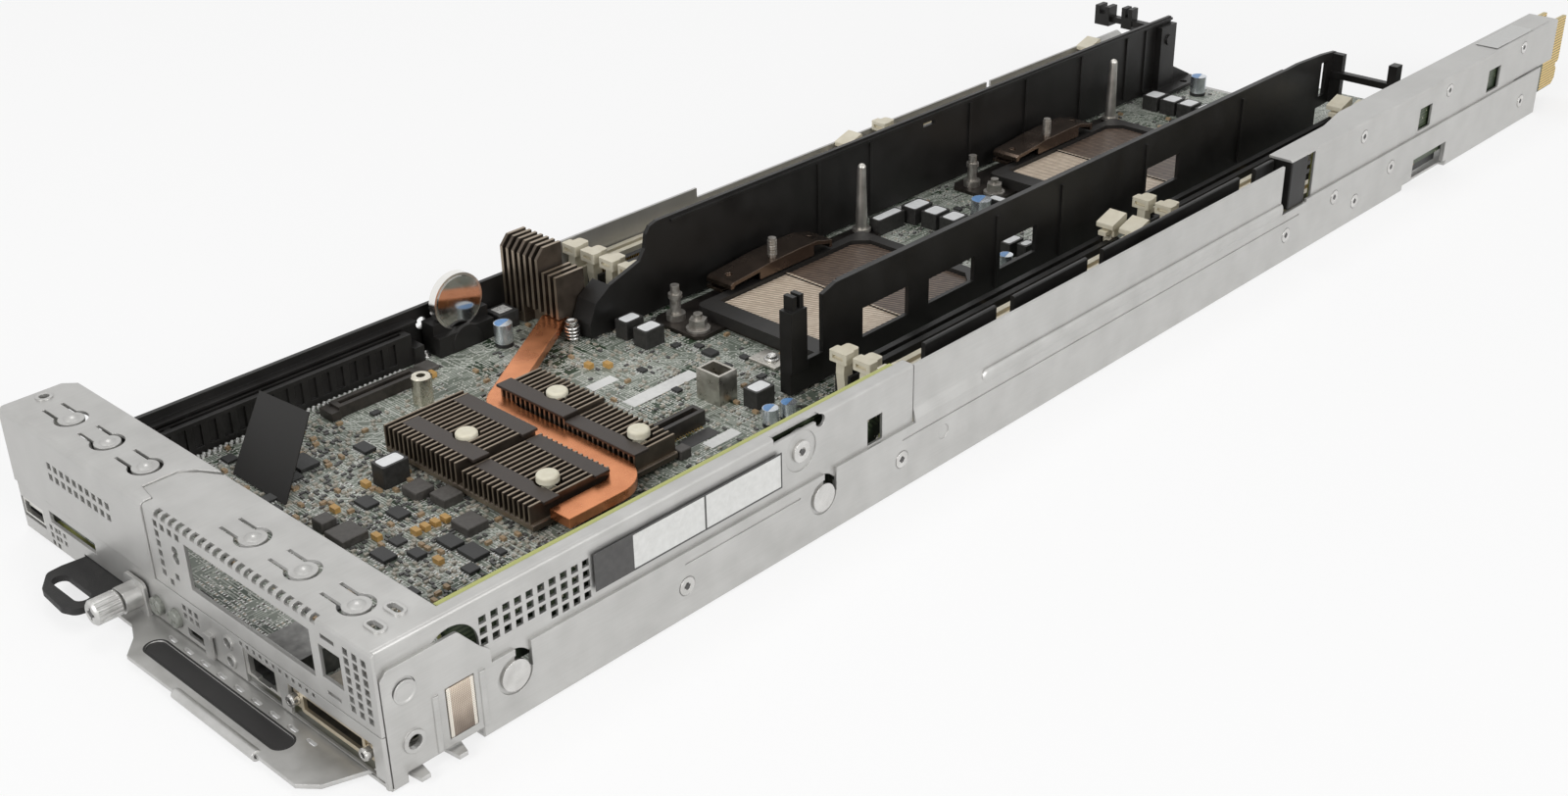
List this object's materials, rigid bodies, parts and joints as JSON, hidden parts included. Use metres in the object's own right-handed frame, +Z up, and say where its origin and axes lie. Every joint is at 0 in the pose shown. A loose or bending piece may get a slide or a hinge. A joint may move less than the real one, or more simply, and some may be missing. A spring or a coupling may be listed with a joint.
{
  "type": "multi node server sled",
  "caption": "Long low server sled: sheet-steel tray with system board, open processor sockets, memory banks, air ducts, card cage and cam lever.",
  "frame": {"origin": "on the tray's underside at mid width, in the plane of the connector face", "axes": "+X to the right seen from the connector face, +Y from that face to the rear, +Z up"},
  "size_m": [0.1814, 0.676, 0.0414],
  "materials": {
    "steel": "satin galvanised",
    "dark_steel": "satin",
    "bright_steel": "polished",
    "black_plastic": "matte",
    "ivory_plastic": "matte",
    "board": "satin",
    "anodised": "anodised dark bronze",
    "copper": "satin copper",
    "brass": "satin",
    "rubber": "matte",
    "foam": "conductive cloth",
    "contacts": "matte",
    "choke": "matte",
    "cell": "polished"
  },
  "bodies": {
    "sled": {"adapter_board_inner": "board", "adapter_board_outer": "board", "blank_cover": "steel", "board_connectors": "black_plastic", "board_post": "brass", "board_screws": "dark_steel", "bolster_front": "steel", "bolster_rear": "steel", "capacitors": "cell", "card_slot": "black_plastic", "cell_holder": "black_plastic", "coin_cell": "cell", "console_port": "dark_steel", "contact_pad": "foam", "corner_nuts": "bright_steel", "corner_studs": "bright_steel", "duct_left": "black_plastic", "duct_right": "black_plastic", "duct_skirt": "black_plastic", "end_block": "black_plastic", "fin_stack": "anodised", "handle_pivot": "bright_steel", "heat_pipe": "copper", "heatsink": "anodised", "inductors": "choke", "io_panel": "steel", "jack_screws": "bright_steel", "leaning_card": "black_plastic", "left_baffle": "black_plastic", "load_studs": "bright_steel", "memory_sockets_black": "black_plastic", "memory_sockets_ivory": "ivory_plastic", "network_port": "dark_steel", "pull_tab": "rubber", "push_pins": "ivory_plastic", "rear_channel": "steel", "riser_board": "board", "riser_cage": "steel", "shoulder_studs": "bright_steel", "socket_front": "contacts", "socket_rear": "contacts", "spring_bar_front": "dark_steel", "spring_bar_rear": "dark_steel", "system_board": "board", "tray": "steel", "usb_port": "dark_steel", "wall_screws": "bright_steel"},
    "cam_lever": {"cam_handle": "steel", "screw_collar": "bright_steel"},
    "retaining_screw": {"thumbscrew": "bright_steel"},
    "power_key": {"power_button": "black_plastic"},
    "marker_key": {"id_button": "black_plastic"},
    "latches_left_1_front_set": {"latches_left_1_front": "ivory_plastic"},
    "latches_left_1_rear_set": {"latches_left_1_rear": "ivory_plastic"},
    "latches_left_2_front_set": {"latches_left_2_front": "ivory_plastic"},
    "latches_left_2_rear_set": {"latches_left_2_rear": "ivory_plastic"},
    "latches_right_1_front_set": {"latches_right_1_front": "ivory_plastic"},
    "latches_right_1_rear_set": {"latches_right_1_rear": "ivory_plastic"},
    "latches_right_2_front_set": {"latches_right_2_front": "ivory_plastic"},
    "latches_right_2_rear_set": {"latches_right_2_rear": "ivory_plastic"}
  },
  "joints": [
    {"name": "cam_swing", "type": "hinge", "parent": "sled", "child": "cam_lever", "pos_m": [0.076, 0.015, 0.0021], "axis": [0, 0, 1], "range_deg": [0, 28]},
    {"name": "screw_turn", "type": "hinge", "parent": "cam_lever", "child": "retaining_screw", "pos_m": [-0.0214, -0.008, 0.0082], "axis": [0, -1, 0], "continuous": true},
    {"name": "power_press", "type": "slide", "parent": "sled", "child": "power_key", "axis": [0, 1, 0], "range_m": [0, 0.0012], "stiffness_N_per_m": 300, "springref_m": -0.001},
    {"name": "marker_press", "type": "slide", "parent": "sled", "child": "marker_key", "axis": [0, 1, 0], "range_m": [0, 0.0012], "stiffness_N_per_m": 300, "springref_m": -0.001},
    {"name": "latches_left_1_front_swing", "type": "hinge", "parent": "sled", "child": "latches_left_1_front_set", "pos_m": [-0.06925, 0.2122, 0.00942], "axis": [1, 0, 0], "range_deg": [0, 28]},
    {"name": "latches_left_1_rear_swing", "type": "hinge", "parent": "sled", "child": "latches_left_1_rear_set", "pos_m": [-0.06925, 0.3582, 0.00942], "axis": [-1, 0, 0], "range_deg": [0, 28]},
    {"name": "latches_left_2_front_swing", "type": "hinge", "parent": "sled", "child": "latches_left_2_front_set", "pos_m": [-0.06925, 0.3825, 0.00942], "axis": [1, 0, 0], "range_deg": [0, 28]},
    {"name": "latches_left_2_rear_swing", "type": "hinge", "parent": "sled", "child": "latches_left_2_rear_set", "pos_m": [-0.06925, 0.5285, 0.00942], "axis": [-1, 0, 0], "range_deg": [0, 28]},
    {"name": "latches_right_1_front_swing", "type": "hinge", "parent": "sled", "child": "latches_right_1_front_set", "pos_m": [0.06005, 0.2122, 0.00942], "axis": [1, 0, 0], "range_deg": [0, 28]},
    {"name": "latches_right_1_rear_swing", "type": "hinge", "parent": "sled", "child": "latches_right_1_rear_set", "pos_m": [0.06005, 0.3582, 0.00942], "axis": [-1, 0, 0], "range_deg": [0, 28]},
    {"name": "latches_right_2_front_swing", "type": "hinge", "parent": "sled", "child": "latches_right_2_front_set", "pos_m": [0.06005, 0.3825, 0.00942], "axis": [1, 0, 0], "range_deg": [0, 28]},
    {"name": "latches_right_2_rear_swing", "type": "hinge", "parent": "sled", "child": "latches_right_2_rear_set", "pos_m": [0.06005, 0.5285, 0.00942], "axis": [-1, 0, 0], "range_deg": [0, 28]}
  ]
}
